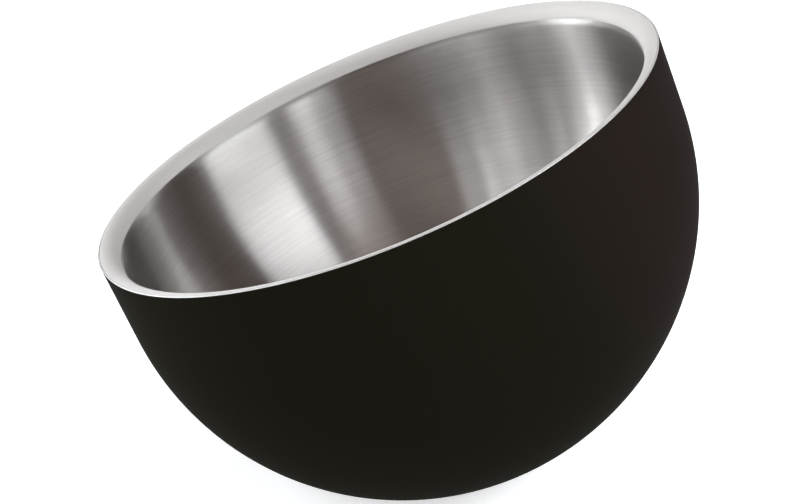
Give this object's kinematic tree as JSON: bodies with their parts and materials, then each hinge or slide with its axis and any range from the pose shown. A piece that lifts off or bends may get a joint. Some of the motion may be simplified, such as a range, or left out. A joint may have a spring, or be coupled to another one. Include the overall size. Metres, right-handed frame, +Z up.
{
  "type": "double-walled bowl",
  "caption": "Round double-walled serving bowl that stands at a slant on a flat base, with a brushed steel liner, a rolled rim and a matt black outer shell.",
  "frame": {"origin": "centre of the base pad's underside, on the surface the bowl stands on", "axes": "+Z up from that surface; -X towards the low side of the slanted rim; the XZ plane is the bowl's mirror plane"},
  "size_m": [0.2013, 0.2, 0.1534],
  "materials": {
    "liner_steel": "stainless steel, brushed round the bowl's axis, smoother on the rim",
    "shell_coat": "matt black coating with a fine grain",
    "seam_steel": "weld seam, ground flush and polished",
    "pad_rubber": "matt non-slip rubber",
    "plug_rubber": "moulded rubber"
  },
  "bodies": {
    "root": {"inner_bowl": "liner_steel", "outer_shell": "shell_coat", "rim_weld_seam": "seam_steel", "base_pad": "pad_rubber", "vent_plug": "plug_rubber"}
  },
  "joints": []
}
